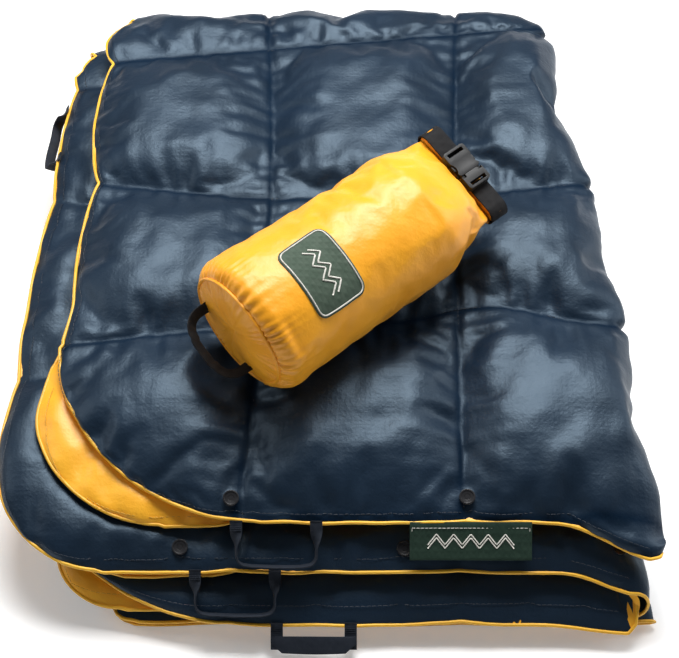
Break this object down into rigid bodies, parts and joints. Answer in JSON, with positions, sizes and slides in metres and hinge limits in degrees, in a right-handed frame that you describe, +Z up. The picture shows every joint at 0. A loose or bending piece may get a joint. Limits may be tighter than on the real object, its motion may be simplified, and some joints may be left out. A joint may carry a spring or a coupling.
{
  "type": "camp quilt with stuff sack",
  "caption": "Folded puffy camp quilt with bound hems, snaps and webbing loops, with its filled roll-top stuff sack lying on it.",
  "frame": {"origin": "on the floor under the middle of the folded stack", "axes": "+Z up; -Y towards the open front hems; +X towards the folded side"},
  "size_m": [0.6037, 0.7381, 0.2637],
  "materials": {
    "navy_shell": "satin",
    "gold_lining": "satin",
    "down_fill": "matte",
    "gold_binding": "satin",
    "snap_black": "gloss",
    "navy_webbing": "matte",
    "green_label": "matte",
    "gold_ripstop": "satin",
    "black_webbing": "matte",
    "patch_fabric": "matte",
    "buckle_plastic": "satin"
  },
  "bodies": {
    "quilt": {"top_fold_shell": "navy_shell", "top_fold_fill": "down_fill", "top_fold_lining": "gold_lining", "top_fold_binding": "gold_binding", "outer_fold_shell": "navy_shell", "outer_fold_fill": "down_fill", "outer_fold_lining": "gold_lining", "outer_fold_binding": "gold_binding", "inner_fold_shell": "navy_shell", "inner_fold_fill": "down_fill", "inner_fold_lining": "gold_lining", "inner_fold_binding": "gold_binding", "bottom_fold_shell": "navy_shell", "bottom_fold_fill": "down_fill", "bottom_fold_lining": "gold_lining", "bottom_fold_binding": "gold_binding", "snap_caps": "snap_black", "snap_posts": "snap_black", "snap_sockets": "snap_black"},
    "top_loop": {"top_hem_loop": "navy_webbing"},
    "middle_loop": {"middle_hem_loop": "navy_webbing"},
    "side_loop": {"side_hem_loop": "navy_webbing"},
    "carry_handle": {"carry_loop": "navy_webbing"},
    "label": {"woven_label": "green_label"},
    "sack": {"sack_tube": "gold_ripstop", "sack_base": "gold_ripstop", "sack_base_seam": "gold_ripstop", "sack_stuffing": "down_fill", "sack_mouth_roll": "gold_ripstop", "sack_patch": "patch_fabric", "left_closure_strap": "black_webbing", "right_closure_strap": "black_webbing", "buckle_socket": "buckle_plastic"},
    "base_handle": {"sack_base_handle": "black_webbing"},
    "plug": {"buckle_plug": "buckle_plastic"},
    "left_arm": {"buckle_left_arm": "buckle_plastic"},
    "right_arm": {"buckle_right_arm": "buckle_plastic"}
  },
  "joints": [
    {"name": "top_loop_swing", "type": "hinge", "parent": "quilt", "child": "top_loop", "pos_m": [-0.056, -0.3022, 0.09271], "axis": [-1, 0, 0], "range_deg": [0, 100]},
    {"name": "middle_loop_swing", "type": "hinge", "parent": "quilt", "child": "middle_loop", "pos_m": [-0.093, -0.3312, 0.05773], "axis": [-1, 0, 0], "range_deg": [0, 95]},
    {"name": "side_loop_swing", "type": "hinge", "parent": "quilt", "child": "side_loop", "pos_m": [-0.2944, 0.187, 0.0907], "axis": [0, 1, 0], "range_deg": [0, 110]},
    {"name": "carry_loop_swing", "type": "hinge", "parent": "quilt", "child": "carry_handle", "pos_m": [-0.023, -0.3642, 0.02129], "axis": [-1, 0, 0], "range_deg": [0, 110]},
    {"name": "label_flip", "type": "hinge", "parent": "quilt", "child": "label", "pos_m": [0.116, -0.3022, 0.09271], "axis": [-1, 0, 0], "range_deg": [0, 110]},
    {"name": "sack_lift", "type": "slide", "parent": "quilt", "child": "sack", "axis": [0, 0, 1], "range_m": [0, 0.25]},
    {"name": "base_handle_swing", "type": "hinge", "parent": "sack", "child": "base_handle", "pos_m": [-0.1012, -0.15509, 0.17475], "axis": [-0.5716, 0.6393, 0.5143], "range_deg": [-45, 45]},
    {"name": "buckle_release", "type": "slide", "parent": "sack", "child": "plug", "axis": [0.6237, -0.7182, -0.3086], "range_m": [0, 0.022]},
    {"name": "left_arm_squeeze", "type": "hinge", "parent": "plug", "child": "left_arm", "pos_m": [0.13052, 0.01508, 0.21694], "axis": [0.1605, -0.2687, 0.9498], "range_deg": [0, 8], "stiffness_Nm_per_rad": 0.004},
    {"name": "right_arm_squeeze", "type": "hinge", "parent": "plug", "child": "right_arm", "pos_m": [0.11598, 0.00288, 0.21594], "axis": [-0.1605, 0.2687, -0.9498], "range_deg": [0, 8], "stiffness_Nm_per_rad": 0.004}
  ],
  "couplings": [
    {"joint": "right_arm_squeeze", "follows": "left_arm_squeeze", "ratio": 1}
  ]
}
